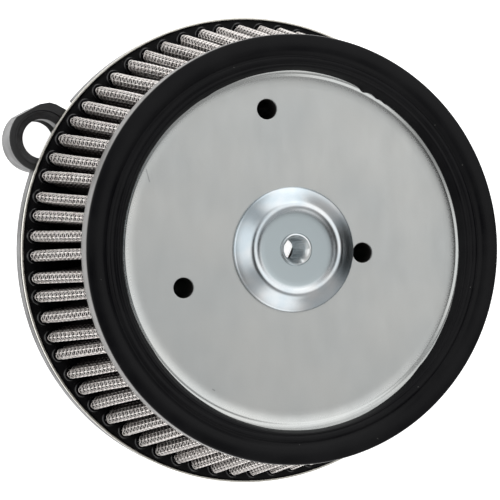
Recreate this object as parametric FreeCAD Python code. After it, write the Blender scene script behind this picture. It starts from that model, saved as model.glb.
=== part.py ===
"""Round pleated air filter for a V-twin motorcycle, on its cast backing plate.

Millimetres. +Z is the filter's axis and points out of the front plate. The origin
is on that axis, on the rear mounting plane of the backing plate. +Y points up when
the filter is fitted, so the two breather ears are at the upper left and right.
"""
import FreeCAD, Part
import math
import os

os.makedirs("parts", exist_ok=True)

# ---- driving dimensions -------------------------------------------------------

# Backing plate
plate_r = 85.6
plate_face_z = 18.5
plate_rim_back_z = 10.0
plate_web = 3.0
rim_width = 4.0
edge_break = 0.8
rib_angles = (75, 105, 190, 222, 254, 286, 318, 350)
rib_width = 3.0
spigot_outer_r = 57.5
spigot_wall = 1.9
spigot_height = 3.0

# Throttle-body side of the plate: intake throat and its three screws
throat_x = -10.4
throat_y = 10.85
throat_r = 28.6
throat_straight = 18.0
throat_flare = 2.0
collar_r = 34.0
screw_circle_r = 37.65
screw_angles = {"top": 88.8, "left": 219.7, "right": -18.5}
screw_hole_r = 3.55
screw_boss_r = 8.0
lip_height = 2.0
lip_wall = 1.2

# Breather ears, left and right of the axis
ear_centre = {-1: (-77.3, 40.2), 1: (74.75, 39.5)}
ear_r = 12.2
ear_draft = 0.4
ear_bore_r = 7.15
ear_seat_r = 10.25
ear_seat_depth = 1.8
ear_washer_drop = 0.7
ear_edge_break = 0.4
ear_neck_start = 0.8
ear_neck_upper = 13.3
ear_neck_lower = 9.15
ear_flat_start = (-9.6, 7.65)
ear_flat_end = (-1.0, 12.45)
ear_peak = (2.4, 13.1)
ear_peak_round = 1.5
ear_flat_waste = ((1.8, 14.0), (-8.0, 16.0))
breather_passage_r = 2.5
breather_passage_z = 12.9
breather_rail_wall = 3.0
ear_notch_r = 2.4
ear_notch_angle = 10.5

# Seals and spacers between the plate and what it bolts to
groove_depth = 2.0
oring_section_r = 0.98
groove_clearance = 0.12
intake_oring_r = 30.6
ear_seal_r = 9.6
ear_seal_height = 9.7
gasket_inner_r = 66.0
gasket_outer_r = 72.0
gasket_depth = 1.5
gasket_clearance = 0.1
spacer_r = 5.5
spacer_seat = 2.0
seat_clearance = 0.05

# Filter element
element_gap = 0.8
pan_thickness = 0.8
pan_lip = 2.7
rear_r = 85.8
rear_opening_r = 58.0
element_height = 56.5
ring_r = 74.5
ring_side_height = 8.0
front_metal = 1.2
front_recess = 4.7
front_rim_r = 61.0
front_rim_rise = 1.2
front_flat_r = 56.0
front_flange_r = 71.0
front_bend_share = 0.3
pan_wall_inset = 0.2
pan_bend_shift = 0.5

# Section of the moulded front ring, from the outside in
ring_inner_r = 56.2
ring_edge = 0.7
ring_edge_step = 1.2
ring_shoulder = 0.5
ring_crown_in = 3.6
ring_crown = 0.8
ring_groove_r = 67.0
ring_groove_half = 1.2
ring_groove_depth = 0.6
ring_lip_r = 63.6
ring_lip_drop = 0.2
ring_lip_slope = 1.9

# Pleat pack: three nested sheets folded together
pleat_count = 69
first_pleat_angle = 4.4
pleat_tip_r = 83.2
pleat_front_tip_r = 73.9
pleat_root_r = 63.6
fold_half_width = 2.2
mesh_thickness = 0.5
media_thickness = 0.8

# Cover screw boss and its threaded insert (3/8-16 UNC, tap-drill wall)
boss_r = 21.8
boss_ridge_r = 15.4
boss_top_rise = 3.8
boss_metal = 1.2
boss_rim_height = 0.9
boss_rim_roll = 0.2
boss_shoulder = 1.6
boss_ridge_width = 1.8
boss_ridge_rise = 0.3
boss_dish = 0.2
boss_hole_r = 5.6
insert_bore_r = 3.97
insert_length = 18.0
insert_body_r = 7.0
insert_flange_r = 9.0
insert_flange = 1.2
insert_chamfer = 0.6
insert_mouth = 1.1
insert_recess = 0.5
insert_hole_play = 1.0
contact_gap = 0.02

# ---- derived levels -----------------------------------------------------------

element_z = plate_face_z + element_gap
disc_face_z = element_z + pan_lip
front_z = disc_face_z + element_height
pack_top_z = front_z - ring_side_height
front_face_z = front_z - front_recess
front_back_z = front_face_z - front_metal
front_rim_z = front_face_z + front_rim_rise
boss_top_z = front_face_z + boss_top_rise
lip_r = throat_r + throat_flare + lip_wall

Z = FreeCAD.Vector(0, 0, 1)
ORIGIN = FreeCAD.Vector(0, 0, 0)

# How far a cutting tool runs past the face it cuts
PAST = 1.0


# ---- helpers ------------------------------------------------------------------

def on_profile(place):
    """A profile point (radius, height) in the XZ plane."""
    radius, height = place
    return FreeCAD.Vector(radius, 0, height)


def revolve(start, *steps):
    """Turn a closed profile about Z. A step is a point, or (middle, end) of an arc."""
    edges = []
    here = on_profile(start)
    for step in list(steps) + [start]:
        if isinstance(step[0], tuple):
            middle, end = on_profile(step[0]), on_profile(step[1])
            edges.append(Part.Arc(here, middle, end).toShape())
        else:
            end = on_profile(step)
            edges.append(Part.LineSegment(here, end).toShape())
        here = end
    return Part.Face(Part.Wire(edges)).revolve(ORIGIN, Z, 360)


def cylinder(radius, low, high, x=0.0, y=0.0):
    return Part.makeCylinder(radius, high - low, FreeCAD.Vector(x, y, low), Z)


def tube(outer, inner, low, high, x=0.0, y=0.0):
    return cylinder(outer, low, high, x, y).cut(cylinder(inner, low, high, x, y))


def slab(plan, low, high):
    """A flat-sided block over a closed outline of (x, y) corners."""
    corners = [FreeCAD.Vector(x, y, low) for x, y in plan]
    return Part.Face(Part.makePolygon(corners + corners[:1])).extrude(Z * (high - low))


def bar(start, end, width, low, high):
    """A straight bar of the given width between two points of the plan."""
    run = FreeCAD.Vector(end[0] - start[0], end[1] - start[1], 0)
    side = Z.cross(run).normalize() * (width / 2)
    corner = FreeCAD.Vector(start[0], start[1], 0)
    corners = [corner - side, corner + run - side, corner + run + side, corner + side]
    return slab([(c.x, c.y) for c in corners], low, high)


def polar(radius, angle):
    return (radius * math.cos(math.radians(angle)), radius * math.sin(math.radians(angle)))


def screw_place(name):
    x, y = polar(screw_circle_r, screw_angles[name])
    return (throat_x + x, throat_y + y)


def level_ring(radius, x, y):
    """An O-ring lying in its groove."""
    return Part.makeTorus(radius, oring_section_r, FreeCAD.Vector(x, y, oring_section_r), Z)


# ---- backing plate ------------------------------------------------------------

def plate_blank():
    """Dished casting: a thin web with a thicker rim, rounded at both rim edges."""
    back, face, r, e = plate_rim_back_z, plate_face_z, plate_r, edge_break
    web_back = face - plate_web
    inside = r - rim_width
    return revolve((0, web_back), (inside, web_back), (inside, back), (r - e, back),
                   (r, back + e), (r, face - e), (r - e, face), (0, face))


def throat_tool():
    """The air path: a straight bore that opens into a rounded mouth."""
    top = throat_straight + throat_flare
    bend = throat_flare * math.sqrt(0.5)
    mouth_r = throat_r + throat_flare
    curve = ((mouth_r - bend, throat_straight + bend), (mouth_r, top))
    tool = revolve((0, -PAST), (throat_r, -PAST), (throat_r, throat_straight), curve,
                   (mouth_r, top + PAST), (0, top + PAST))
    tool.translate(FreeCAD.Vector(throat_x, throat_y, 0))
    return tool


def intake_groove():
    half = oring_section_r + groove_clearance
    return tube(intake_oring_r + half, intake_oring_r - half, -PAST, groove_depth,
                throat_x, throat_y)


def ear_place(side, beside=(0.0, 0.0)):
    """An ear's centre, or a point beside it; right-hand points are mirrored."""
    centre_x, centre_y = ear_centre[side]
    return (centre_x - side * beside[0], centre_y + beside[1])


def ear_neck(side):
    """Plan of the web between an ear and the rim, with the peak at the ear's top."""
    centre_x, centre_y = ear_place(side)
    reach = math.hypot(centre_x, centre_y)
    inward = (-centre_x / reach, -centre_y / reach)
    upward = (side * inward[1], -side * inward[0])

    def place(depth, offset):
        return (centre_x + depth * inward[0] + offset * upward[0],
                centre_y + depth * inward[1] + offset * upward[1])

    root = reach * (1 - ear_neck_start)
    return [(centre_x, centre_y), ear_place(side, ear_flat_start), ear_place(side, ear_flat_end),
            ear_place(side, ear_peak), place(-ear_peak_round, ear_neck_upper),
            place(root, ear_neck_upper), place(root, -ear_neck_lower), place(0, -ear_neck_lower)]


def ear(side):
    """One drafted breather ear, its neck to the rim and its breather rail to the throat."""
    centre = ear_place(side)
    edge_z = plate_face_z - ear_edge_break
    foot = FreeCAD.Vector(*centre, 0)
    shoulder = FreeCAD.Vector(*centre, edge_z)
    body = Part.makeCone(ear_r - ear_draft, ear_r, edge_z, foot, Z)
    body = body.fuse(Part.makeCone(ear_r, ear_r - ear_edge_break, ear_edge_break, shoulder, Z))
    waste = [ear_place(side, place) for place in (ear_flat_start,) + ear_flat_waste]
    body = body.cut(slab(waste, -PAST, plate_face_z + PAST))
    body = body.fuse(slab(ear_neck(side), plate_rim_back_z, plate_face_z))
    rail_half = breather_passage_r + breather_rail_wall
    rail = bar(centre, (throat_x, throat_y), 2 * rail_half, breather_passage_z - rail_half,
               plate_face_z - PAST)
    return body.fuse(rail)


def ear_cuts(side):
    """Bolt bore, washer seat, seal groove, breather passage and the relief notch."""
    x, y = ear_place(side)
    above = plate_face_z + PAST
    to_throat = FreeCAD.Vector(throat_x - x, throat_y - y, 0)
    passage_start = FreeCAD.Vector(x, y, breather_passage_z)
    passage_length = to_throat.Length - throat_r + 2 * PAST
    notch_angle = math.degrees(math.atan2(y, x)) + side * ear_notch_angle
    return [
        cylinder(ear_bore_r, -PAST, above, x, y),
        cylinder(ear_seat_r, plate_face_z - ear_seat_depth, above, x, y),
        cylinder(ear_seal_r + seat_clearance, -PAST, ear_seal_height, x, y),
        Part.makeCylinder(breather_passage_r, passage_length, passage_start, to_throat),
        cylinder(ear_notch_r, -PAST, above, *polar(plate_r, notch_angle)),
    ]


def ribs():
    """Stiffening ribs on the back, from the throat collar out to the rim."""
    tips = [polar(plate_r - rim_width / 2, angle) for angle in rib_angles]
    return [bar((throat_x, throat_y), tip, rib_width, plate_rim_back_z, plate_face_z)
            for tip in tips]


def backing_plate():
    face = plate_face_z
    body = plate_blank()
    body = body.fuse(cylinder(collar_r, 0, face, throat_x, throat_y))
    body = body.fuse(cylinder(lip_r, 0, face + lip_height, throat_x, throat_y))
    body = body.fuse(tube(spigot_outer_r, spigot_outer_r - spigot_wall, face - PAST,
                          face + spigot_height))
    for name in screw_angles:
        body = body.fuse(cylinder(screw_boss_r, 0, face, *screw_place(name)))
    for rib in ribs():
        body = body.fuse(rib)
    for side in (-1, 1):
        body = body.fuse(ear(side))
    body = body.cut(throat_tool())
    body = body.cut(intake_groove())
    body = body.cut(tube(gasket_outer_r, gasket_inner_r, face - gasket_depth, face + PAST))
    for name in screw_angles:
        x, y = screw_place(name)
        body = body.cut(cylinder(screw_hole_r, -PAST, face + PAST, x, y))
        body = body.cut(cylinder(spacer_r + seat_clearance, face - spacer_seat, face + PAST, x, y))
    for side in (-1, 1):
        for cut in ear_cuts(side):
            body = body.cut(cut)
    return body.removeSplitter()


def spacer(name):
    """Tube that carries one long screw's clamping load past the pleats."""
    return tube(spacer_r, screw_hole_r, plate_face_z - spacer_seat, front_back_z,
                *screw_place(name))


def intake_oring():
    return level_ring(intake_oring_r, throat_x, throat_y)


def breather_seal(side):
    """Rubber sleeve pressed into the back of the ear, under the breather bolt."""
    return tube(ear_seal_r, ear_bore_r, 0, ear_seal_height, *ear_place(side))


def breather_washer(side):
    """Ring seated in the ear's face under the breather bolt's head."""
    return tube(ear_seat_r - seat_clearance, ear_bore_r, plate_face_z - ear_seat_depth,
                plate_face_z - ear_washer_drop, *ear_place(side))


def seat_gasket():
    """Flat ring in the plate's groove that the element is clamped down on."""
    return tube(gasket_outer_r - gasket_clearance, gasket_inner_r + gasket_clearance,
                plate_face_z - gasket_depth, element_z)


# ---- filter element -----------------------------------------------------------

def rear_end_pan():
    """Shallow steel pan that holds the rear potting; its lip is the bright edge line."""
    base = element_z
    inner, outer, t = rear_opening_r, rear_r, pan_thickness
    return revolve((inner, base), (outer - t / 2, base), (outer, base + t / 2),
                   (outer, disc_face_z), (outer - t, disc_face_z), (outer - t, base + t),
                   (inner + t, base + t), (inner + t, disc_face_z), (inner, disc_face_z))


def rear_potting():
    """Cast ring that fills the pan and closes the pleats' rear ends."""
    t = pan_thickness
    return tube(rear_r - t, rear_opening_r + t, element_z + t, disc_face_z)


def fold_outline(depth, scale, z):
    """Closed folded outline at a depth below the pack's outer surface, at one height."""
    total = 2 * mesh_thickness + media_thickness
    half_pitch = 180.0 / pleat_count
    tip_r = pleat_tip_r - depth
    tip_w = fold_half_width - depth
    root_r = pleat_root_r + total - depth
    root_w = fold_half_width - total + depth
    points = []
    for fold in range(pleat_count):
        ridge = first_pleat_angle + fold * 2 * half_pitch
        valley = ridge + half_pitch
        corners = [(ridge, tip_r - tip_w / 2, -tip_w), (ridge, tip_r, -tip_w / 2),
                   (ridge, tip_r, tip_w / 2), (ridge, tip_r - tip_w / 2, tip_w),
                   (valley, root_r + root_w / 2, -root_w), (valley, root_r, -root_w / 2),
                   (valley, root_r, root_w / 2), (valley, root_r + root_w / 2, root_w)]
        for angle, radial, across in corners:
            out_x, out_y = polar(1.0, angle)
            x = radial * out_x - across * out_y
            y = radial * out_y + across * out_x
            points.append(FreeCAD.Vector(x * scale, y * scale, z))
    return points


def folded_sheet(depth, thickness):
    """One folded sheet of the pack, narrower at the front than at the rear."""
    narrowing = pleat_front_tip_r / pleat_tip_r
    walls = []
    rings = {"rear": [], "front": []}
    for level in (depth, depth + thickness):
        rear = fold_outline(level, 1.0, disc_face_z)
        front = fold_outline(level, narrowing, pack_top_z)
        rings["rear"].append(Part.makePolygon(rear + rear[:1]))
        rings["front"].append(Part.makePolygon(front + front[:1]))
        count = len(rear)
        for i in range(count):
            j = (i + 1) % count
            corners = [rear[i], rear[j], front[j], front[i], rear[i]]
            walls.append(Part.Face(Part.makePolygon(corners)))
    for outer, inner in rings.values():
        walls.append(Part.Face(outer).cut(Part.Face(inner)).Faces[0])
    shell = Part.makeShell(walls)
    shell.sewShape()
    solid = Part.makeSolid(shell)
    if solid.Volume < 0:
        solid.reverse()
    return solid


def outer_mesh():
    return folded_sheet(0.0, mesh_thickness - contact_gap)


def filter_media():
    return folded_sheet(mesh_thickness, media_thickness)


def inner_mesh():
    return folded_sheet(mesh_thickness + media_thickness + contact_gap,
                        mesh_thickness - contact_gap)


def front_plate():
    """Steel pan: flat floor, curved wall, and a flange held in the rubber ring."""
    face, back, t = front_face_z, front_back_z, front_metal
    rim_r, rim_z = front_rim_r - pan_wall_inset, front_rim_z
    bend_r = (rim_r + front_flat_r) / 2 + pan_bend_shift
    bend_z = face + front_rim_rise * front_bend_share
    upper = ((bend_r, bend_z), (rim_r, rim_z))
    lower = ((bend_r + pan_bend_shift * pan_wall_inset, bend_z - t), (front_flat_r, back))
    pan = revolve((0, back), (0, face), (front_flat_r, face), upper, (front_flange_r, rim_z),
                  (front_flange_r, rim_z - t), (rim_r, rim_z - t), lower)
    pan = pan.cut(cylinder(insert_body_r + insert_hole_play, back - PAST, face + PAST))
    for name in screw_angles:
        pan = pan.cut(cylinder(screw_hole_r, back - PAST, face + PAST, *screw_place(name)))
    return pan


def front_ring(plate):
    """Moulded rubber ring over the pleats' front ends, with a groove and an inner lip."""
    top, r = front_z, ring_r
    shoulder_r = r - ring_edge_step
    in_plate = front_face_z - front_metal / 2
    outer_edge = ((shoulder_r + ring_edge_step * 0.7, top + ring_shoulder * 0.3),
                  (shoulder_r, top + ring_shoulder))
    crown = ((r - ring_crown_in, top + ring_crown),
             (ring_groove_r + ring_groove_half, top + ring_shoulder * 0.2))
    lip = ((ring_lip_r, top - ring_lip_drop),
           (front_rim_r + ring_edge_step / 2, top - ring_lip_slope))
    body = revolve((ring_inner_r, pack_top_z), (r, pack_top_z), (r, top - ring_edge),
                   outer_edge, crown, (ring_groove_r, top - ring_groove_depth),
                   (ring_groove_r - ring_groove_half * 0.75, top - ring_lip_drop), lip,
                   (front_rim_r, front_rim_z - contact_gap / 2),
                   (front_rim_r, front_rim_z - front_metal / 2),
                   (front_flat_r + ring_edge_step, in_plate), (ring_inner_r, in_plate))
    return body.cut(plate)


def boss_cup():
    """Pressed cup for the cover screw: rolled rim, cone, ridge and a dished top."""
    floor, top, t = front_face_z, boss_top_z, boss_metal
    ridge, width, rise = boss_ridge_r, boss_ridge_width, boss_ridge_rise
    dish = top - boss_dish
    rim = ((boss_r - boss_rim_roll / 2, floor + boss_rim_height),
           (boss_r - boss_rim_height, floor + boss_rim_height + boss_rim_roll))
    crest = ((ridge, top + rise), (ridge - width, top))
    under = ((ridge - boss_rim_roll, top - t + boss_rim_roll / 2),
             (ridge + PAST, top - t - boss_rim_height + boss_rim_roll / 2))
    return revolve((boss_r, floor), rim, (ridge + boss_shoulder, top - 2 * rise), crest,
                   (boss_hole_r, dish), (boss_hole_r, dish - t), (ridge - width, top - t),
                   under, (boss_r - boss_shoulder, floor))


def cover_insert():
    """Flanged threaded insert under the cup's top, open from end to end."""
    seat = boss_top_z - boss_dish - boss_metal - contact_gap
    top = boss_top_z - insert_recess
    bottom = top - insert_length
    shoulder = seat - insert_flange
    collar = boss_hole_r - seat_clearance
    chamfer = insert_chamfer
    return revolve((insert_bore_r, bottom + chamfer), (insert_bore_r + chamfer, bottom),
                   (insert_body_r - chamfer, bottom), (insert_body_r, bottom + chamfer),
                   (insert_body_r, shoulder), (insert_flange_r, shoulder),
                   (insert_flange_r, seat), (collar, seat), (collar, top),
                   (insert_bore_r + insert_mouth, top), (insert_bore_r, top - insert_mouth))


# ---- build --------------------------------------------------------------------

def build():
    plate = front_plate()
    nodes = {
        "backing_plate": backing_plate(),
        "intake_oring": intake_oring(),
        "seat_gasket": seat_gasket(),
        "rear_end_pan": rear_end_pan(),
        "rear_potting": rear_potting(),
        "outer_mesh": outer_mesh(),
        "filter_media": filter_media(),
        "inner_mesh": inner_mesh(),
        "front_plate": plate,
        "front_ring": front_ring(plate),
        "boss_cup": boss_cup(),
        "cover_insert": cover_insert(),
    }
    for side, word in ((-1, "left"), (1, "right")):
        nodes["breather_seal_" + word] = breather_seal(side)
        nodes["breather_washer_" + word] = breather_washer(side)
    for name in screw_angles:
        nodes["screw_spacer_" + name] = spacer(name)
    return nodes


for node, shape in build().items():
    solid = shape.Solids[0]
    box = solid.BoundBox
    print(node, "solids", len(shape.Solids), "valid", solid.isValid(),
          "volume", round(solid.Volume, 1), "z", round(box.ZMin, 2), round(box.ZMax, 2),
          "x", round(box.XMin, 2), round(box.XMax, 2))
    solid.exportStep("parts/" + node + ".step")
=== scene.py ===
"""Looks of a round pleated motorcycle air filter on its cast backing plate.

Metres, in the row's frame: +Z is the filter's axis, and the part lies on its back.
"""

import math
import random

import bpy
import numpy as np
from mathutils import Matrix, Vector
from mathutils.geometry import delaunay_2d_cdt


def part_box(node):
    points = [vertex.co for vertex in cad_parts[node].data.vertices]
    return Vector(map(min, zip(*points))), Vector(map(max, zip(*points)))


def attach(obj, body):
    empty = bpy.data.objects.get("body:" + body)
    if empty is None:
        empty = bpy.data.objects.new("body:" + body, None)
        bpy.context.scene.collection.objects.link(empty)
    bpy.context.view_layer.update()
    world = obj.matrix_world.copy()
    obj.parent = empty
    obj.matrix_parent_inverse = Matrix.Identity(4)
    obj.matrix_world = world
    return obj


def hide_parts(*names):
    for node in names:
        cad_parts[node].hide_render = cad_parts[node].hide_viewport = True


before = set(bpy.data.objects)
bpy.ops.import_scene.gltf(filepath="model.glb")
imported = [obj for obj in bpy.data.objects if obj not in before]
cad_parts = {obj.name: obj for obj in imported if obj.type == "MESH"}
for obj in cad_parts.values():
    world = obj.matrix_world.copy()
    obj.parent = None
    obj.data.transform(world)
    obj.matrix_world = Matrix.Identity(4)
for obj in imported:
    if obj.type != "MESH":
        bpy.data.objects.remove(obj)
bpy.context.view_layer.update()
MM = 0.001

# ---- places read from the frame -------------------------------------------------

pack_low, pack_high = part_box("outer_mesh")
ring_low, ring_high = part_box("front_ring")
pan_low, pan_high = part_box("rear_end_pan")
insert_low, insert_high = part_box("cover_insert")
front_face_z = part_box("boss_cup")[0].z

# ---- driving dimensions ---------------------------------------------------------

# Pleat pack. A ridge is half an ellipse, and under it the flanks spread by a share of their depth
pleat_count = 69
first_pleat = math.radians(4.4)
rear_tip_r = 83.6 * MM
front_tip_r = 73.9 * MM
root_r = 63.6 * MM
ridge_half = 2.2 * MM
ridge_height = 2.5 * MM
valley_half = 0.45 * ridge_half
flank_spread = 0.05
pleat_seed = 11
angle_jitter = math.radians(0.35)
lean_jitter = math.radians(0.45)
tip_jitter = 0.25 * MM
width_jitter = 0.04
bow_jitter = 0.22 * MM

# Woven wire cloth, 14 wires to the inch both ways
wire_r = 0.19 * MM
wire_pitch = 25.4 / 14 * MM
wire_crimp = 0.18 * MM
cloth_middle = 0.5 * MM
cloth_depth = 6.4 * MM
wire_sides = 5
cloth_sectors = 7
# Painted shade on the wires: it starts this far below the pleat tips and is full at the next
fold_shade_start = 1.6 * MM
fold_shade_full = 5.0 * MM
# Where a wire has its rings of points, in pitches from each wire that it meets
weft_steps = (-0.375, -0.125, 0.125, 0.375)
warp_steps = (-0.22, 0.22)

# Gauze under the cloth
gauze_depth = 0.95 * MM
gauze_thickness = 0.6 * MM

# Rear pan, and the resin's edge at a pleat's foot: (out from the cloth, up from the pan), mm
pan_inner_r = 58.0 * MM
pan_wall = 0.8 * MM
foot_depth = 6.0 * MM
creep_shape = ((0.08, 0.95), (0.13, 0.6), (0.22, 0.32), (0.36, 0.12), (0.55, -0.05),
               (0.5, -0.3), (-0.7, -0.3), (-0.7, 0.8))

# Front plate, with its curved wall: (radius, height above the floor), mm
metal = 1.2 * MM
rim_rise = 1.2 * MM
flat_r = 56.0 * MM
flange_r = 71.0 * MM
wall_shape = ((57.2, 0.02), (58.2, 0.09), (59.1, 0.21), (59.8, 0.35), (60.15, 0.45),
              (60.4, 0.65), (60.65, 0.88), (60.95, 1.06), (61.4, 1.17), (61.9, 1.2))
under_rim_r = 60.9 * MM
under_bend_r = 58.6 * MM
under_bend_rise = 0.25 * MM
polish_start_r = 57.0 * MM
polish_full_r = 60.0 * MM
screws = ("top", "left", "right")
screw_hole_r = 3.55 * MM
screw_hole_edge = 0.22 * MM
insert_hole_r = 8.0 * MM
# A hole's rounded edge, in shares of screw_hole_edge: (out from the hole, down from the face)
hole_edge_shape = ((0.3, 0.05), (0.07, 0.3), (0.0, 1.0))

# Light scratches on the plate: start, end and width, mm
plate_scratches = (((-52.6, 27.2), (-51.3, 22.9), 0.22), ((-29.2, -47.9), (-28.2, -48.5), 0.25))

# Moulded front ring, from its outer edge over the crown: (radius, height, rounding), mm,
# with heights from a line that lies crown_drop below the ring's top
ring_inner_r = 56.2 * MM
ring_outer_r = 74.5 * MM
crown_drop = 0.8 * MM
# Where the ring's outer side wall turns to a painted reflection in light grey
side_start_r = 74.15 * MM
side_full_r = 74.4 * MM
ring_shape = ((74.5, -5.0, 0), (74.4, 0.25, 0.9), (70.9, 0.85, 2.6), (68.3, 0.35, 0.8),
              (67.0, -0.8, 0.5), (66.1, -0.1, 0.35), (64.9, -0.2, 0.3), (64.1, -0.8, 0.25),
              (63.4, -0.6, 0.25), (62.6, -0.85, 0.25), (62.1, -1.6, 0.3))

# The ring's lip, where it creeps over the steel and where it stands back: (angle, spread, mm)
lip_edge_r = 60.95 * MM
flash_spots = ((65.6, 1.5, 0.95), (60.4, 1.2, 0.5), (57.2, 0.8, 0.35),
               (121.0, 2.0, 0.2), (214.0, 3.0, 0.15), (318.0, 2.5, 0.2))
flash_reach = 0.6 * MM
gap_spots = ((88.0, 24.0, 1.0), (285.0, 42.0, 1.9))
gap_reach = 3.6 * MM
# Ripples round the lip and over the crown: (number, phase, mm)
lip_ripples = ((7, 0.0, 0.04), (23, 0.0, 0.03))
crown_ripples = ((5, 0.7, 0.05), (11, 0.0, 0.03))

# Boss cup, outside and underneath: (radius, height above the plate), mm
cup_shape = ((21.8, 0.0), (21.8, 0.6), (21.55, 0.95), (21.1, 1.15), (20.4, 1.45), (19.4, 1.97),
             (18.2, 2.67), (17.4, 3.2), (16.8, 3.6), (16.2, 3.9), (15.6, 4.07), (15.0, 4.1),
             (14.4, 3.99), (13.9, 3.8), (13.4, 3.59), (12.9, 3.44), (12.3, 3.36), (11.0, 3.32),
             (5.8, 3.3), (5.6, 3.1))
# Inside cup_satin_r the flat top is satin and painted darker as painted shade; outside cup_bright_r the zinc
# is bright
cup_satin_r = 12.5 * MM
cup_bright_r = 13.7 * MM
cup_underside = ((5.6, 2.4), (12.8, 2.45), (15.0, 3.1), (20.4, 0.0))

# Cover insert, with a 3/8-16 thread
insert_body_r = 7.0 * MM
insert_chamfer = 0.6 * MM
insert_flange_r = 9.0 * MM
insert_flange = 1.2 * MM
insert_collar_r = 5.55 * MM
insert_collar_edge = 0.15 * MM
insert_seat = 2.38 * MM
insert_mouth = 1.0 * MM
thread_pitch = 25.4 / 16 * MM
thread_minor_r = 3.97 * MM
thread_depth = 0.62 * MM

# Breather ears
ear_bore_r = 7.15 * MM

# Machined intake throat
throat = (-10.4 * MM, 10.85 * MM)
throat_r = 28.6 * MM
throat_edge_r = throat_r + 0.25 * MM

# Floor, and a sky of soft lobes: direction, inner and outer angle, change in brightness
floor_size = 4.0
floor_drop = 0.3 * MM
floor_glow = 1.1
sky_base = 0.42
sky_lobes = (
    ((0.44, 0.36, 0.84), 14, 38, 0.84),
    ((-0.75, 0.10, 0.60), 10, 35, 0.75),
    ((0.05, 0.92, 0.40), 12, 33, 0.95),
    ((0.00, -0.87, 0.50), 10, 28, 0.85),
    ((-0.22, -0.08, 0.97), 12, 28, -0.41),
    ((0.95, 0.00, 0.30), 10, 28, -0.42),
)

# Key light and camera
key_place = (1.15, 0.0, 0.0)
key_aim = (0.0, 0.0, 40 * MM)
key_size = 0.3
key_watts = 0.35
camera_place = (-0.2301, -0.0030, 0.8013)
camera_turn = (math.radians(0.212), math.radians(-16.42), 0.0)
camera_lens = 158.4

TURN = 2 * math.pi
# Most of a noise texture's values lie between these
NOISE_RANGE = (0.3, 0.7)


def screw_place(name):
    """Where one of the three screws' axes crosses the front plate."""
    low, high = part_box("screw_spacer_" + name)
    return (low.x + high.x) / 2, (low.y + high.y) / 2


# ---- mesh helpers ---------------------------------------------------------------

def add_piece(name, points, quads, look, body, nodes, smooth_angle=35.0):
    """A mesh object from arrays, riding on its body and standing for CAD nodes."""
    mesh = bpy.data.meshes.new(name)
    mesh.from_pydata(np.asarray(points).tolist(), [], quads)
    mesh.validate()
    mesh.polygons.foreach_set("use_smooth", [True] * len(mesh.polygons))
    mesh.set_sharp_from_angle(angle=math.radians(smooth_angle))
    mesh.materials.append(look)
    piece = bpy.data.objects.new(name, mesh)
    bpy.context.scene.collection.objects.link(piece)
    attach(piece, body)
    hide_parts(*nodes)
    return piece


def skin(rows, close_rows=False, close_columns=False):
    """Points and quads of a sheet through equal rows of points."""
    rows = np.asarray(rows, float)
    count, width = rows.shape[:2]
    points = rows.reshape(-1, 3)
    quads = []
    for i in range(count if close_rows else count - 1):
        here, there = i * width, (i + 1) % count * width
        for j in range(width if close_columns else width - 1):
            k = (j + 1) % width
            quads.append((here + j, here + k, there + k, there + j))
    return points, quads


def joined(parts):
    """Several (points, faces) sets as one."""
    points, faces, start = [], [], 0
    for some_points, some_faces in parts:
        points.append(np.asarray(some_points, float))
        faces.extend(tuple(start + i for i in face) for face in some_faces)
        start += len(some_points)
    return np.concatenate(points), faces


def rounded(corners, steps=5, most=0.48):
    """A closed outline of (radius, height, rounding) corners, each rounded over at most a share of a side."""
    outline = []
    count = len(corners)
    for i, (r, z, size) in enumerate(corners):
        here = np.array((r, z))
        if size <= 0:
            outline.append(here)
            continue
        before = np.array(corners[i - 1][:2]) - here
        after = np.array(corners[(i + 1) % count][:2]) - here
        start = here + before * min(most, size / np.linalg.norm(before))
        end = here + after * min(most, size / np.linalg.norm(after))
        for t in np.linspace(0, 1, steps):
            outline.append((1 - t) ** 2 * start + 2 * t * (1 - t) * here + t * t * end)
    return np.array(outline)


def turned(outline, segments, centre=(0.0, 0.0), change=None):
    """A closed (radius, height) outline turned about a vertical axis."""
    rows = []
    for i in range(segments):
        angle = TURN * i / segments
        profile = outline if change is None else change(outline, angle)
        rows.append([(centre[0] + r * math.cos(angle), centre[1] + r * math.sin(angle), z)
                     for r, z in profile])
    return skin(rows, close_rows=True, close_columns=True)


def bands(rows):
    """Quads between successive closed rows of point numbers."""
    faces = []
    for upper, lower in zip(rows, rows[1:]):
        for j in range(len(upper)):
            k = (j + 1) % len(upper)
            faces.append((upper[j], upper[k], lower[k], lower[j]))
    return faces


# ---- node helpers ---------------------------------------------------------------

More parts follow.
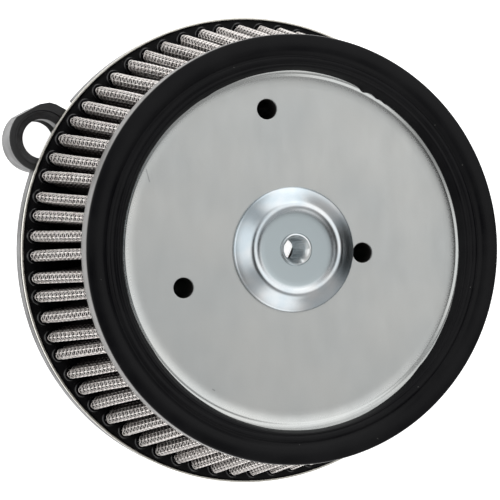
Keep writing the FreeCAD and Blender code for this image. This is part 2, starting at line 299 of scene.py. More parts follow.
class Look:
    """A Principled material with a few procedural inputs."""

    def __init__(self, name, metallic=0.0, specular=0.5):
        self.material = bpy.data.materials.new(name)
        self.material.use_nodes = True
        self.tree = self.material.node_tree
        self.shader = self.tree.nodes["Principled BSDF"]
        self.set("Metallic", metallic)
        self.set("Specular IOR Level", specular)
        self.place = self.node("ShaderNodeTexCoord").outputs["Object"]

    def set(self, socket, value):
        self.shader.inputs[socket].default_value = value

    def node(self, kind, **settings):
        made = self.tree.nodes.new(kind)
        for key, value in settings.items():
            setattr(made, key, value)
        return made

    def link(self, source, target):
        self.tree.links.new(source, target)

    def math(self, operation, a, b=0.0):
        """One sum of numbers or sockets."""
        made = self.node("ShaderNodeMath", operation=operation)
        for value, socket in zip((a, b), made.inputs):
            if isinstance(value, (int, float)):
                socket.default_value = value
            else:
                self.link(value, socket)
        return made.outputs[0]

    def add(self, a, b):
        return self.math("ADD", a, b)

    def times(self, a, b):
        return self.math("MULTIPLY", a, b)

    def spread(self, value, low, high, new_low=0.0, new_high=1.0):
        """The range low to high of a value, stretched onto a new range and cut off at its ends."""
        made = self.node("ShaderNodeMapRange")
        self.link(value, made.inputs["Value"])
        for key, number in (("From Min", low), ("From Max", high),
                            ("To Min", new_low), ("To Max", new_high)):
            made.inputs[key].default_value = number
        return made.outputs["Result"]

    def noise(self, size, detail, stretch=(1, 1, 1)):
        """Noise whose blobs are about size metres across."""
        scale = self.node("ShaderNodeMapping")
        scale.inputs["Scale"].default_value = stretch
        self.link(self.place, scale.inputs["Vector"])
        made = self.node("ShaderNodeTexNoise")
        made.inputs["Scale"].default_value = 1 / size
        made.inputs["Detail"].default_value = detail
        self.link(scale.outputs["Vector"], made.inputs["Vector"])
        return made.outputs["Fac"]

    def cells(self, size):
        """Distance to the nearest of many points strewn about size metres apart, in those units."""
        made = self.node("ShaderNodeTexVoronoi")
        made.inputs["Scale"].default_value = 1 / size
        self.link(self.place, made.inputs["Vector"])
        return made.outputs["Distance"]

    def polar(self):
        """Radius, angle and height about the filter's axis."""
        split = self.node("ShaderNodeSeparateXYZ")
        self.link(self.place, split.inputs[0])
        x, y, z = split.outputs
        radius = self.math("SQRT", self.add(self.times(x, x), self.times(y, y)))
        return radius, self.math("ARCTAN2", y, x), z

    def distance(self, x, y):
        """Distance from an upright axis through (x, y)."""
        flat = self.node("ShaderNodeVectorMath", operation="MULTIPLY_ADD")
        self.link(self.place, flat.inputs[0])
        flat.inputs[1].default_value = (1, 1, 0)
        flat.inputs[2].default_value = (-x, -y, 0)
        length = self.node("ShaderNodeVectorMath", operation="LENGTH")
        self.link(flat.outputs[0], length.inputs[0])
        return length.outputs["Value"]

    def mix_colour(self, share, low, high):
        """The colour low where share is 0, and high where it is 1."""
        made = self.node("ShaderNodeMix", data_type="RGBA")
        for colour, socket in ((low, made.inputs[6]), (high, made.inputs[7])):
            if isinstance(colour, tuple):
                socket.default_value = (*colour, 1)
            else:
                self.link(colour, socket)
        self.link(share, made.inputs["Factor"])
        return made.outputs[2]

    def shade(self, value, low, high, dark, light):
        """A colour from dark to light as the value goes from low to high."""
        return self.mix_colour(self.spread(value, low, high), dark, light)

    def vary(self, noise, low, high):
        """A number from low to high as a noise goes over its range."""
        return self.spread(noise, *NOISE_RANGE, low, high)

    def tint(self, noise, dark, light):
        """A colour from dark to light as a noise goes over its range."""
        return self.shade(noise, *NOISE_RANGE, dark, light)

    def drive(self, socket, source):
        """One of the shader's inputs follows a node."""
        self.link(source, self.shader.inputs[socket])

    def colour(self, source):
        self.drive("Base Color", source)

    def roughness(self, source):
        self.drive("Roughness", source)

    def bump(self, height, depth, strength=1.0):
        """Adds a bump of the given depth in metres on top of those before it."""
        made = self.node("ShaderNodeBump")
        made.inputs["Strength"].default_value = strength
        made.inputs["Distance"].default_value = depth
        self.link(height, made.inputs["Height"])
        before = self.shader.inputs["Normal"].links
        if before:
            self.link(before[0].from_socket, made.inputs["Normal"])
        self.link(made.outputs["Normal"], self.shader.inputs["Normal"])


# ---- materials ------------------------------------------------------------------

def scratch(look, start, end, width):
    """1 on a thin straight mark between two places, given in mm, and 0 elsewhere."""
    start = Vector((*start, 0)) * MM
    run = Vector((*end, 0)) * MM - start
    line = look.node("ShaderNodeVectorMath", operation="SUBTRACT")
    look.link(look.place, line.inputs[0])
    line.inputs[1].default_value = start
    dots = []
    for direction in (run.normalized(), Vector((-run.y, run.x, 0)).normalized()):
        dot = look.node("ShaderNodeVectorMath", operation="DOT_PRODUCT")
        look.link(line.outputs[0], dot.inputs[0])
        dot.inputs[1].default_value = direction
        dots.append(dot.outputs["Value"])
    along = look.math("ABSOLUTE", look.math("SUBTRACT", dots[0], run.length / 2))
    inside = look.math("LESS_THAN", along, run.length / 2)
    thin = look.spread(look.math("ABSOLUTE", dots[1]), width / 2 * MM, width * MM, 1.0, 0.0)
    return look.times(inside, thin)


def satin_zinc():
    """Dull grey zinc plate with a fine grain, faint clouding and a few light scratches."""
    look = Look("satin_zinc", metallic=1.0)
    cloud = look.noise(26 * MM, 2.0)
    grain = look.noise(0.38 * MM, 4.0)
    smear = look.noise(5 * MM, 3.0, stretch=(1.0, 0.35, 1.0))
    base = look.shade(cloud, 0.35, 0.65, (0.60, 0.61, 0.595), (0.555, 0.575, 0.57))
    speckle = look.tint(grain, (0.50, 0.50, 0.49), base)
    blend = look.mix_colour(look.add(0.62, look.times(grain, 0.3)), speckle, base)
    marks = look.add(*[scratch(look, *mark) for mark in plate_scratches])
    look.colour(look.mix_colour(marks, blend, (0.36, 0.37, 0.37)))
    rough = look.add(look.vary(grain, 0.36, 0.47), look.vary(smear, -0.03, 0.03))
    radius, _, _ = look.polar()
    polished = look.spread(radius, polish_start_r, polish_full_r, 0.0, -0.18)
    look.roughness(look.add(rough, polished))
    look.bump(grain, 0.012 * MM)
    look.bump(smear, 0.02 * MM)
    return look.material


def bright_zinc():
    """Bright blue-white zinc with soft clouds of tint."""
    look = Look("bright_zinc", metallic=1.0)
    cloud = look.noise(9 * MM, 2.0)
    grain = look.noise(0.45 * MM, 4.0)
    look.colour(look.shade(cloud, 0.35, 0.65, (0.66, 0.725, 0.76), (0.78, 0.80, 0.80)))
    look.roughness(look.add(look.vary(cloud, 0.16, 0.25), look.vary(grain, -0.03, 0.04)))
    look.bump(grain, 0.012 * MM)
    return look.material


def dished_zinc():
    """The cup's zinc: satin and painted darker on the flat top, as painted shade; bright on the ridge, cone
    and rim.
    """
    look = Look("cup_zinc", metallic=1.0)
    radius, _, _ = look.polar()
    cloud = look.noise(10 * MM, 2.0)
    grain = look.noise(0.4 * MM, 4.0)
    flat = look.spread(radius, cup_satin_r, cup_bright_r, 1.0, 0.0)
    bright = look.shade(cloud, 0.35, 0.65, (0.60, 0.68, 0.73), (0.76, 0.78, 0.79))
    # Painted shade: the flat top is painted a darker zinc, standing in for the dimmer light it reflects
    look.colour(look.mix_colour(flat, bright, (0.47, 0.53, 0.55)))
    look.roughness(look.add(look.times(flat, 0.13), look.vary(grain, 0.21, 0.27)))
    look.bump(grain, 0.008 * MM)
    return look.material


def moulded_rubber():
    """Black moulded rubber: fine rings left by the mould, dull bloom, dust specks, and a painted reflection
    in light grey on the outer side wall.
    """
    look = Look("moulded_rubber")
    radius, _, _ = look.polar()
    rings = look.node("ShaderNodeTexNoise", noise_dimensions="1D")
    rings.inputs["Scale"].default_value = 1 / (0.55 * MM)
    rings.inputs["Detail"].default_value = 3.0
    look.link(radius, rings.inputs["W"])
    bloom = look.noise(14 * MM, 3.0)
    grain = look.noise(0.35 * MM, 3.0)
    dust = look.spread(look.cells(5.5 * MM), 0.018, 0.03, 1.0, 0.0)
    base = look.shade(bloom, 0.35, 0.7, (0.003, 0.003, 0.004), (0.008, 0.008, 0.009))
    # Painted reflection: the outer side wall is painted light grey, standing in for the bright surroundings
    # it reflects
    side = look.spread(radius, side_start_r, side_full_r)
    painted_side_sheen = look.mix_colour(side, base, (0.13, 0.125, 0.12))
    look.colour(look.mix_colour(dust, painted_side_sheen, (0.22, 0.22, 0.21)))
    look.drive("Specular IOR Level", look.spread(side, 0, 1, 0.14, 0.6))
    look.roughness(look.add(look.vary(bloom, 0.30, 0.44), look.vary(grain, -0.04, 0.04)))
    look.bump(rings.outputs["Fac"], 0.03 * MM, 0.6)
    look.bump(grain, 0.015 * MM)
    return look.material


def casting_black():
    """Semi-gloss black over a fine cast skin, with the intake throat left bare."""
    look = Look("casting_black")
    skin_grain = look.noise(0.7 * MM, 4.0)
    worn = look.noise(9 * MM, 3.0)
    bare = look.spread(look.distance(*throat), throat_edge_r, throat_edge_r + 0.1 * MM, 1.0, 0.0)
    black = look.shade(worn, 0.45, 0.7, (0.010, 0.010, 0.011), (0.02, 0.02, 0.021))
    look.colour(look.mix_colour(bare, black, (0.80, 0.80, 0.80)))
    look.drive("Metallic", bare)
    look.roughness(look.add(look.vary(worn, 0.3, 0.46), look.times(bare, -0.12)))
    look.bump(skin_grain, 0.05 * MM, 0.7)
    return look.material


def cast_potting():
    """Black resin: dull where it lies flat, glossy where it creeps up the pleats."""
    look = Look("cast_potting")
    wave = look.noise(6 * MM, 2.0)
    haze = look.noise(2.5 * MM, 3.0)
    split = look.node("ShaderNodeSeparateXYZ")
    look.link(look.node("ShaderNodeNewGeometry").outputs["True Normal"], split.inputs[0])
    flat = look.spread(split.outputs[2], 0.75, 0.97)
    look.colour(look.shade(haze, 0.4, 0.8, (0.002, 0.002, 0.0026), (0.005, 0.005, 0.006)))
    look.roughness(look.add(look.vary(haze, 0.1, 0.2), look.times(flat, 0.15)))
    look.drive("Specular IOR Level", look.spread(flat, 0, 1, 1.0, 0.1))
    look.bump(wave, 0.06 * MM, 0.6)
    return look.material


def plated_pan():
    """Bare zinc-plated lip of the rear pan, slightly yellowed."""
    look = Look("plated_pan", metallic=1.0)
    streak = look.noise(1.2 * MM, 3.0, stretch=(1, 1, 0.15))
    look.colour(look.tint(streak, (0.62, 0.60, 0.54), (0.80, 0.78, 0.72)))
    look.roughness(look.vary(streak, 0.24, 0.42))
    look.bump(streak, 0.02 * MM)
    return look.material


def fold_depth(look):
    """How far below the pleat tips a point lies, in metres."""
    radius, _, height = look.polar()
    taper = (front_tip_r - rear_tip_r) / (pack_high.z - pack_low.z)
    tip = look.add(rear_tip_r - taper * pack_low.z, look.times(height, taper))
    return look.math("SUBTRACT", tip, radius)


def stainless_wire():
    """Warm grey drawn wire, bright on the ridges and darkened down in the folds by painted shade."""
    look = Look("stainless_wire", metallic=0.9)
    patch = look.noise(3.0 * MM, 2.0)
    drawn = look.noise(0.3 * MM, 2.0)
    clean = look.tint(patch, (0.80, 0.75, 0.72), (0.96, 0.92, 0.89))
    # Painted shade: the wires turn near black down in the folds, where shade falls
    fold_shade = look.spread(fold_depth(look), fold_shade_start, fold_shade_full)
    look.colour(look.mix_colour(fold_shade, clean, (0.10, 0.085, 0.08)))
    look.roughness(look.add(look.vary(patch, 0.24, 0.34), look.vary(drawn, -0.05, 0.05)))
    return look.material


def woven_height(look, thread):
    """A plain weave over the pleats' flanks, from radius and height."""
    radius, _, height = look.polar()
    across = look.math("SINE", look.times(radius, math.pi / thread))
    along = look.math("SINE", look.times(height, math.pi / thread))
    return look.times(across, along)


def dark_gauze():
    """Oiled cotton gauze, nearly black, with a fine weave."""
    look = Look("dark_gauze", specular=0.25)
    weave = woven_height(look, thread=0.5 * MM)
    fluff = look.noise(1.4 * MM, 4.0)
    look.colour(look.tint(fluff, (0.006, 0.005, 0.0045), (0.02, 0.015, 0.013)))
    look.roughness(look.vary(fluff, 0.7, 0.95))
    look.bump(weave, 0.12 * MM)
    look.bump(fluff, 0.1 * MM)
    return look.material


def inner_cloth():
    """Wire cloth on the clean-air side, seen against the dark gauze in front of it."""
    look = Look("inner_cloth", metallic=0.8)
    weave = woven_height(look, thread=1.35 * MM)
    wires = look.spread(look.math("ABSOLUTE", weave), 0.12, 0.4, 1.0, 0.0)
    look.colour(look.mix_colour(wires, (0.03, 0.024, 0.022), (0.62, 0.58, 0.55)))
    look.roughness(look.spread(wires, 0, 1, 0.85, 0.32))
    look.bump(wires, 0.25 * MM)
    return look.material


def seal_rubber():
    """Smooth black seal with faint mould haze."""
    look = Look("seal_rubber")
    haze = look.noise(2.2 * MM, 3.0)
    look.colour(look.shade(haze, 0.35, 0.7, (0.011, 0.011, 0.012), (0.028, 0.028, 0.03)))
    look.roughness(look.vary(haze, 0.3, 0.5))
    look.bump(haze, 0.03 * MM)
    return look.material


def sleeve_rubber():
    """Dull black rubber of the breather sleeves, chalky in places."""
    look = Look("sleeve_rubber", specular=0.1)
    chalk = look.noise(1.5 * MM, 3.0)
    look.colour(look.shade(chalk, 0.4, 0.75, (0.005, 0.005, 0.005), (0.02, 0.02, 0.02)))
    look.roughness(look.vary(chalk, 0.85, 1.0))
    look.bump(chalk, 0.05 * MM)
    return look.material


def foam_seal():
    """Matte closed-cell rubber with small pores."""
    look = Look("foam_seal", specular=0.2)
    pores = look.spread(look.cells(0.6 * MM), 0.1, 0.5)
    look.colour(look.mix_colour(pores, (0.006, 0.006, 0.006), (0.03, 0.03, 0.03)))
    look.roughness(look.spread(pores, 0, 1, 0.98, 0.8))
    look.bump(pores, 0.12 * MM)
    return look.material


def turned_aluminium():
    """Lathe-turned tube: fine rings along its length, and its bore painted near black as painted shade."""
    look = Look("turned_aluminium")
    rings = look.noise(0.5 * MM, 3.0, stretch=(0.02, 0.02, 1.0))
    clean = look.tint(rings, (0.66, 0.66, 0.67), (0.82, 0.82, 0.83))
    nearest = None
    for name in screws:
        reach = look.distance(*screw_place(name))
        nearest = reach if nearest is None else look.math("MINIMUM", nearest, reach)
    # Painted shade: the bore is painted near black, so the screw holes read dark
    painted_bore_shade = look.spread(nearest, screw_hole_r + 0.1 * MM, screw_hole_r + 0.3 * MM, 1.0, 0.0)
    look.colour(look.mix_colour(painted_bore_shade, clean, (0.012, 0.010, 0.009)))
    look.drive("Metallic", look.spread(painted_bore_shade, 0, 1, 1.0, 0.0))
    look.roughness(look.add(look.vary(rings, 0.22, 0.4), look.times(painted_bore_shade, 0.35)))
    look.bump(rings, 0.03 * MM)
    return look.material


# ---- the pleat pack -------------------------------------------------------------

def draw_pleats():
    """Angle, lean, tip shift, width, bow and weave shift of each pleat, slightly uneven."""
    draw = random.Random(pleat_seed)
    pleats = []
    for k in range(pleat_count):
        pleats.append({
            "angle": first_pleat + TURN * k / pleat_count + draw.uniform(-1, 1) * angle_jitter,
            "lean": draw.uniform(-1, 1) * lean_jitter,
            "tip": draw.uniform(-1, 0) * tip_jitter,
            "width": 1 + draw.uniform(-1, 1) * width_jitter,
            "bow": draw.uniform(-1, 1) * bow_jitter,
            "weave": draw.uniform(-1, 1) * wire_pitch / 2,
        })
    return pleats


def ridge_section(depth, reach):
    """Section of one ridge: arc length, place across, place below the tip, and normals."""
    half, height = ridge_half - depth, ridge_height - depth
    turn = np.linspace(0, math.pi / 2, 40)
    across = list(half * np.sin(turn))
    below = list(height * (1 - np.cos(turn)))
    # No flank, no steps: a doubled point would have no normal
    for step in np.linspace(0, reach, 12)[1:] if reach else ():
        across.append(half + flank_spread * step)
        below.append(height + step)
    across = np.array([-u for u in across[:0:-1]] + across)
    below = np.array(below[:0:-1] + below) + depth
    length = np.concatenate([[0], np.cumsum(np.hypot(np.diff(across), np.diff(below)))])
    length -= length[-1] / 2
    normal_across, normal_up = np.gradient(below, length), np.gradient(across, length)
    return length, across, below, normal_across, normal_up


def on_ridge(section, s, lift):
    """Across and below at arc length s, lifted off the surface."""
    length, across, below, normal_across, normal_up = section
    aside = np.interp(s, length, normal_across)
    up = np.interp(s, length, normal_up)
    size = np.hypot(aside, up)
    return (np.interp(s, length, across) + lift * aside / size,
            np.interp(s, length, below) - lift * up / size)


def in_pack(pleat, across, below, z):
    """Row-frame points of places on one pleat."""
    across, below, z = np.broadcast_arrays(across, below, z)
    share = (z - pack_low.z) / (pack_high.z - pack_low.z)
    scale = 1 + share * (front_tip_r / rear_tip_r - 1)
    angle = pleat["angle"] + pleat["lean"] * share
    across = across * pleat["width"] + pleat["bow"] * np.sin(math.pi * share)
    radial = rear_tip_r + pleat["tip"] - below
    x = scale * (radial * np.cos(angle) - across * np.sin(angle))
    y = scale * (radial * np.sin(angle) + across * np.cos(angle))
    return np.stack([x, y, z], axis=-1)


def tube_faces(rings, sides):
    """Faces of a closed tube whose rings of points are numbered in order."""
    faces = []
    for i in range(rings - 1):
        for j in range(sides):
            k = (j + 1) % sides
            faces.append((i * sides + j, i * sides + k, (i + 1) * sides + k, (i + 1) * sides + j))
    faces.append(tuple(range(sides))[::-1])
    faces.append(tuple((rings - 1) * sides + j for j in range(sides)))
    return faces


def waves(count, steps):
    """Places along a wire that meets count others, and its rise there, going over and under."""
    number = np.repeat(np.arange(count), len(steps))
    step = np.tile(steps, count)
    rise = wire_crimp * np.cos(math.pi * step) * np.where(number % 2, 1, -1)
    return (number - (count - 1) / 2 + step) * wire_pitch, rise


def wire_cloth(pleats):
    """Points and faces of the woven wires over these pleats."""
    section = ridge_section(cloth_middle, cloth_depth)
    warps = 2 * int((section[0][-1] - wire_pitch / 2) / wire_pitch) + 1
    wefts = int((pack_high.z - pack_low.z) / wire_pitch)
    middle_z = (pack_low.z + pack_high.z) / 2
    weft_places, weft_rise = waves(warps, weft_steps)
    warp_places, warp_rise = waves(wefts, warp_steps)
    warp_places = warp_places + middle_z
    warp_places[0], warp_places[-1] = pack_low.z, pack_high.z
    round_angles = (np.arange(wire_sides) + 0.5) * TURN / wire_sides
    out, side = wire_r * np.cos(round_angles), wire_r * np.sin(round_angles)
    weft_faces = tube_faces(len(weft_places), wire_sides)
    warp_faces = tube_faces(len(warp_places), wire_sides)
    parts = []
    for pleat in pleats:
        for row in range(wefts):
            z = middle_z + (row - (wefts - 1) / 2) * wire_pitch
            lift = weft_rise if row % 2 else -weft_rise
            places = weft_places + pleat["weave"]
            across, below = on_ridge(section, places[:, None], lift[:, None] + out[None, :])
            points = in_pack(pleat, across, below, z + side[None, :])
            parts.append((points.reshape(-1, 3), weft_faces))
        for column in range(warps):
            s = (column - (warps - 1) / 2) * wire_pitch + pleat["weave"]
            lift = -warp_rise if column % 2 else warp_rise
            across, below = on_ridge(section, s + side[None, :], lift[:, None] + out[None, :])
            points = in_pack(pleat, across, below, warp_places[:, None])
            parts.append((points.reshape(-1, 3), warp_faces))
    return joined(parts)


def make_wire_cloth(pleats, look):
    """The cloth in a few sectors, because the whole of it would make one very large piece."""
    share = math.ceil(pleat_count / cloth_sectors)
    for sector in range(cloth_sectors):
        some = pleats[sector * share:(sector + 1) * share]
        points, faces = wire_cloth(some)
        add_piece("outer_mesh_sector_%d" % (sector + 1), points, faces, look, "element",
                  ["outer_mesh"], smooth_angle=120.0)


def gauze_outline(pleats, depth, z):
    """One closed folded line through every ridge and valley at a height."""
    section = ridge_section(depth, 0.0)
    ridge_places = np.linspace(section[0][0], section[0][-1], 13)
    total = gauze_depth + gauze_thickness
    half = valley_half + (depth - gauze_depth) / 2
    valley_r = root_r + total - depth
    rows = []
    for k, pleat in enumerate(pleats):
        across, below = on_ridge(section, ridge_places, 0.0)
        rows.append(in_pack(pleat, across, below, z))
        after = pleats[(k + 1) % pleat_count]
        middle = dict(pleat)
        step = (after["angle"] - pleat["angle"]) % TURN
        middle.update(angle=pleat["angle"] + step / 2, lean=(pleat["lean"] + after["lean"]) / 2,
                      bow=(pleat["bow"] + after["bow"]) / 2, tip=0.0, width=1.0)
        turn = np.linspace(-math.pi / 2, math.pi / 2, 7)
        valley_below = rear_tip_r - valley_r - half * (1 - np.cos(turn))
        rows.append(in_pack(middle, half * np.sin(turn), valley_below, z))
    return np.concatenate(rows)


def make_gauze(pleats, look):
    """One long strip of gauze, folded under every ridge of the cloth and back."""
    low, high = pack_low.z, pack_high.z
    inner = gauze_depth + gauze_thickness
    rows = [gauze_outline(pleats, gauze_depth, low), gauze_outline(pleats, gauze_depth, high),
            gauze_outline(pleats, inner, high), gauze_outline(pleats, inner, low)]
    points, quads = skin(rows, close_rows=True, close_columns=True)
    piece = add_piece("pleated_gauze", points, quads, look, "element",
                      ["filter_media"], smooth_angle=50.0)
    middle = gauze_outline(pleats, gauze_depth, (low + high) / 2)


def meniscus(pleat, section, places):
    """The fillet of resin that creeps up round one pleat's foot, as a closed strip."""
    rows = []
    for out, up in creep_shape:
        across, below = on_ridge(section, places, out * MM)
        rows.append(in_pack(pleat, across, below, pan_high.z + up * MM))
    points, quads = skin(np.swapaxes(np.array(rows), 0, 1), close_columns=True)
    width = len(creep_shape)
    last = (len(places) - 1) * width
    quads.append(tuple(range(width)))
    quads.append(tuple(last + j for j in range(width))[::-1])
    return points, quads


def make_potting(pleats, look):
    """Resin ring in the rear pan, with a raised edge at the pan and at every pleat."""
    inner, outer = pan_inner_r + pan_wall, pan_high.x - pan_wall
    low, top = pan_low.z + pan_wall, pan_high.z
    outline = rounded([(inner, low, 0), (outer, low, 0), (outer, top + 0.05 * MM, 0),
                       (outer - 0.3 * MM, top - 0.12 * MM, 0.3 * MM),
                       (outer - 1.2 * MM, top - 0.2 * MM, 0.4 * MM), (inner, top, 0)])
    parts = [turned(outline, segments=480)]
    section = ridge_section(0.0, foot_depth)
    places = np.linspace(section[0][0], section[0][-1], 35)
    for pleat in pleats:
        parts.append(meniscus(pleat, section, places))
    points, quads = joined(parts)
    add_piece("potting_ring", points, quads, look, "element", ["rear_potting"])


# ---- turned pieces --------------------------------------------------------------

def bumps(spots, degrees):
    """The sum at some angle of soft bumps: their (angle, spread, height in mm)."""
    return sum(size * MM * math.exp(-((degrees - centre) / spread) ** 2)
               for centre, spread, size in spots)


def ripples(waves_round, angle):
    """The sum at some angle of waves round the ring: their (number, phase, height in mm)."""
    return sum(size * MM * math.sin(number * angle + phase) for number, phase, size in waves_round)


def mould_flash(outline, angle):
    """Uneven rubber: it creeps over the steel in places, and stands back in others."""
    changed = outline.copy()
    degrees = math.degrees(angle)
    creep = bumps(flash_spots, degrees) + ripples(lip_ripples, angle)
    stand_back = bumps(gap_spots, degrees)
    from_lip = np.abs(outline[:, 0] - lip_edge_r)
    near = np.clip(1 - from_lip / flash_reach, 0, 1)
    wide = np.clip(1 - from_lip / gap_reach, 0, 1)
    lip = outline[:, 1] > front_face_z + rim_rise - 0.2 * MM
    changed[:, 0] += (stand_back * wide - creep * near) * lip
    # The crown sinks a little first, so that its ripples stay under the ring's top
    crown = outline[:, 1] > ring_high.z - 2.5 * MM
    changed[:, 1] += (ripples(crown_ripples, angle) - 0.06 * MM) * crown
    return changed


def make_front_ring(look):
    """Moulded ring: soft outer edge, crown, groove, and a lip with fine steps."""
    crown = ring_high.z - crown_drop
    floor = front_face_z - metal / 2
    corners = [(ring_inner_r, ring_low.z, 0.2 * MM), (ring_outer_r - 0.1 * MM, ring_low.z, 0.4 * MM)]
    corners += [(r * MM, crown + z * MM, size * MM) for r, z, size in ring_shape]
    corners += [(lip_edge_r, front_face_z + rim_rise + 0.12 * MM, 0.2 * MM), (lip_edge_r, floor, 0),
                (ring_inner_r, floor - 0.3 * MM, 0)]
    points, quads = turned(rounded(corners), segments=720, change=mould_flash)
    add_piece("moulded_front_ring", points, quads, look, "element",
              ["front_ring"], smooth_angle=60.0)


def make_boss_cup(look):
    """Pressed cup: low rolled rim, cone, broad soft ridge and a slightly dished top."""
    outline = np.array([(r * MM, front_face_z + z * MM) for r, z in cup_shape + cup_underside])
    points, quads = turned(outline, segments=240)
    add_piece("pressed_boss_cup", points, quads, look, "element",
              ["boss_cup"], smooth_angle=40.0)


def thread_rise(angle, z):
    """How far the helical groove cuts into the wall: 0 on the crest, 1 at the root."""
    phase = (z / thread_pitch - angle / TURN) % 1.0
    return min(1.0, max(0.0, 1.25 - 2.5 * abs(phase - 0.5)))


def make_insert(look):
    """Threaded insert: flange under the cup, helical thread, chamfered mouth."""
    top, bottom = insert_high.z, insert_low.z
    seat = front_face_z + insert_seat
    levels = np.arange(bottom + insert_chamfer / 2, top - insert_mouth, thread_pitch / 14)
    segments = 96
    rows = []
    for i in range(segments):
        angle = TURN * i / segments
        profile = [(thread_minor_r + insert_mouth, top)]
        for z in levels[::-1]:
            profile.append((thread_minor_r + thread_depth * thread_rise(angle, z), z))
        profile += [(thread_minor_r + insert_chamfer, bottom),
                    (insert_body_r - insert_chamfer, bottom),
                    (insert_body_r, bottom + insert_chamfer),
                    (insert_body_r, seat - insert_flange),
                    (insert_flange_r, seat - insert_flange),
                    (insert_flange_r, seat), (insert_collar_r, seat),
                    (insert_collar_r, top - insert_collar_edge),
                    (insert_collar_r - insert_collar_edge, top)]
        rows.append([(r * math.cos(angle), r * math.sin(angle), z) for r, z in profile])
    points, quads = skin(rows, close_rows=True, close_columns=True)
    add_piece("threaded_cover_insert", points, quads, look, "element",
              ["cover_insert"], smooth_angle=50.0)


def make_rear_pan(look):
    """Thin pan with a softly rolled outer lip."""
    base, top, outer = pan_low.z, pan_high.z, pan_high.x
    inner, wall = pan_inner_r, pan_wall
    corners = [(inner, base, 0.3 * MM), (outer - 0.1 * MM, base, 0.8 * MM),
               (outer, top, 0.3 * MM), (outer - wall, top, 0.3 * MM),
               (outer - wall, base + wall, 0.3 * MM), (inner + wall, base + wall, 0.2 * MM),
               (inner + wall, top, 0.2 * MM), (inner, top, 0.2 * MM)]
    points, quads = turned(rounded(corners), segments=480)
    add_piece("plated_rear_pan", points, quads, look, "element",
              ["rear_end_pan"], smooth_angle=50.0)


def make_washer(word, look):
    """Stepped ring in one ear's face, dished towards its bore."""
    low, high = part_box("breather_washer_" + word)
    centre = ((low.x + high.x) / 2, (low.y + high.y) / 2)
    outer = (high.x - low.x) / 2
    bore = ear_bore_r
    corners = [(bore, low.z, 0), (outer, low.z, 0), (outer, high.z, 0.25 * MM),
               (outer - 0.9 * MM, high.z - 0.05 * MM, 0.3 * MM),
               (outer - 1.2 * MM, high.z - 0.3 * MM, 0.3 * MM),
               (bore + 0.5 * MM, high.z - 0.5 * MM, 0.3 * MM), (bore, high.z - 0.85 * MM, 0.2 * MM)]
    points, quads = turned(rounded(corners), segments=160, centre=centre)
    add_piece("ear_washer_" + word, points, quads, look, "backing",
              ["breather_washer_" + word])


# ---- front plate ----------------------------------------------------------------

def circle(radius, count, centre=(0.0, 0.0)):
    """Points on a circle, anticlockwise."""
    return [(centre[0] + radius * math.cos(TURN * i / count),
             centre[1] + radius * math.sin(TURN * i / count)) for i in range(count)]


def make_front_plate(look):
    """Pan floor with rounded hole edges, a curved wall and a flange under the rubber."""
    face, back = front_face_z, front_face_z - metal
    rim_z = face + rim_rise
    wall = [(r * MM, face + z * MM) for r, z in wall_shape]
    wall += [(flange_r, rim_z), (flange_r, rim_z - metal), (under_rim_r, rim_z - metal),
             (under_bend_r, back + under_bend_rise)]
    outer_count, hole_count = 288, 64
    holes = [(screw_hole_r, screw_place(name)) for name in screws]
    holes.append((insert_hole_r, (0.0, 0.0)))
    rings = [circle(flat_r, outer_count)]
    for radius, centre in holes:
        rings.append(circle(radius + screw_hole_edge, hole_count, centre))
    flat, loops = [], []
    for ring in rings:
        loops.append(list(range(len(flat), len(flat) + len(ring))))
        flat += ring
    # Output kind 2 is the triangles inside the outer loop, with the holes left out
    triangles = delaunay_2d_cdt([Vector(p) for p in flat], [], loops, 2, 1e-9)[2]
    points = [(x, y, z) for z in (face, back) for x, y in flat]
    below = len(flat)
    faces = [tuple(t) for t in triangles]
    faces += [tuple(below + i for i in t[::-1]) for t in triangles]
    for (radius, centre), loop in zip(holes, loops[1:]):
        rows = [loop]
        for out, down in hole_edge_shape:
            rows.append(list(range(len(points), len(points) + hole_count)))
            points += [(x, y, face - screw_hole_edge * down)
                       for x, y in circle(radius + screw_hole_edge * out, hole_count, centre)]
        rows.append([below + i for i in loop])
        faces += bands(rows)
    rows = [loops[0]]
    for radius, z in wall:
        rows.append(list(range(len(points), len(points) + outer_count)))
        points += [(x, y, z) for x, y in circle(radius, outer_count)]
    rows.append([below + i for i in loops[0]])
    faces += [quad[::-1] for quad in bands(rows)]
    piece = add_piece("zinc_front_plate", points, faces, look, "element",
                      ["front_plate"], smooth_angle=50.0)
    weigh = piece.modifiers.new("flat_floor", "WEIGHTED_NORMAL")
    weigh.keep_sharp = True
    weigh.weight = 100


# ---- stage ----------------------------------------------------------------------

def make_floor():
    """Pale lit table the part lies on."""
    look = Look("pale_floor")
    look.set("Roughness", 0.6)
    soft = look.noise(0.4, 2.0)
    look.colour(look.mix_colour(soft, (0.88, 0.88, 0.88), (0.92, 0.92, 0.92)))
    look.set("Emission Color", (1, 1, 1, 1))
    look.set("Emission Strength", floor_glow)
    mesh = bpy.data.meshes.new("floor")
    size, z = floor_size, -floor_drop
    mesh.from_pydata([(-size, -size, z), (size, -size, z), (size, size, z), (-size, size, z)],
                     [], [(0, 1, 2, 3)])
    mesh.materials.append(look.material)
    floor = bpy.data.objects.new("floor", mesh)
    bpy.context.scene.collection.objects.link(floor)


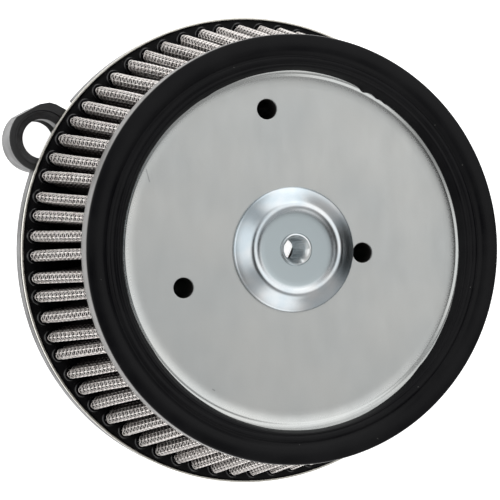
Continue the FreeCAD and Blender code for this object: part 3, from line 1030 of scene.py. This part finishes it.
def make_sky():
    """Soft white studio: bright above and around, dim behind the camera and low on the right."""
    world = bpy.data.worlds.new("studio")
    bpy.context.scene.world = world
    world.use_nodes = True
    tree = world.node_tree
    background = tree.nodes["Background"]
    background.inputs["Color"].default_value = (1.0, 1.0, 1.0, 1)
    where = tree.nodes.new("ShaderNodeTexCoord").outputs["Generated"]
    # The first sum starts from sky_base, and each later one from the sum before it
    total = None
    for direction, inner, outer, change in sky_lobes:
        dot = tree.nodes.new("ShaderNodeVectorMath")
        dot.operation = "DOT_PRODUCT"
        dot.inputs[1].default_value = Vector(direction).normalized()
        tree.links.new(where, dot.inputs[0])
        lobe = tree.nodes.new("ShaderNodeMapRange")
        lobe.interpolation_type = "SMOOTHSTEP"
        for key, number in (("From Min", math.cos(math.radians(outer))),
                            ("From Max", math.cos(math.radians(inner))),
                            ("To Min", 0.0), ("To Max", change)):
            lobe.inputs[key].default_value = number
        tree.links.new(dot.outputs["Value"], lobe.inputs["Value"])
        add = tree.nodes.new("ShaderNodeMath")
        add.operation = "ADD"
        add.inputs[1].default_value = sky_base
        if total is not None:
            tree.links.new(total, add.inputs[1])
        tree.links.new(lobe.outputs["Result"], add.inputs[0])
        total = add.outputs[0]
    tree.links.new(total, background.inputs["Strength"])


def make_key_light():
    """A square soft light low on the right, aimed at the part and not itself in view."""
    lamp = bpy.data.lights.new("key_right", "AREA")
    lamp.size = key_size
    lamp.energy = key_watts
    box = bpy.data.objects.new("key_right", lamp)
    box.location = key_place
    aim = Vector(key_aim) - Vector(key_place)
    box.rotation_euler = aim.to_track_quat("-Z", "Y").to_euler()
    box.visible_camera = False
    bpy.context.scene.collection.objects.link(box)


def make_camera():
    """Long lens from the front, a little to the left of the filter's axis."""
    data = bpy.data.cameras.new("camera")
    data.lens = camera_lens
    data.sensor_width = 36.0
    data.clip_start, data.clip_end = 0.05, 20.0
    camera = bpy.data.objects.new("camera", data)
    camera.location = camera_place
    camera.rotation_euler = camera_turn
    bpy.context.scene.collection.objects.link(camera)
    bpy.context.scene.camera = camera


# ---- build ----------------------------------------------------------------------

def dress(nodes, look):
    """A CAD node keeps its shape and gets a finished material."""
    for node in nodes:
        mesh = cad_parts[node].data
        mesh.materials.clear()
        mesh.materials.append(look)


def build():
    """Every piece of the filter and its backing plate."""
    pleats = draw_pleats()
    make_wire_cloth(pleats, stainless_wire())
    make_gauze(pleats, dark_gauze())
    make_potting(pleats, cast_potting())
    make_front_ring(moulded_rubber())
    make_front_plate(satin_zinc())
    make_boss_cup(dished_zinc())
    make_insert(bright_zinc())
    make_rear_pan(plated_pan())
    rubber = seal_rubber()
    for word in ("left", "right"):
        make_washer(word, rubber)
    dress(["backing_plate"], casting_black())
    dress(["inner_mesh"], inner_cloth())
    dress(["intake_oring"], rubber)
    dress(["breather_seal_left", "breather_seal_right"], sleeve_rubber())
    dress(["seat_gasket"], foam_seal())
    dress(["screw_spacer_" + name for name in screws], turned_aluminium())


build()
make_floor()
make_sky()
make_key_light()
make_camera()
bpy.context.scene.view_settings.view_transform = "Standard"

bpy.context.view_layer.update()
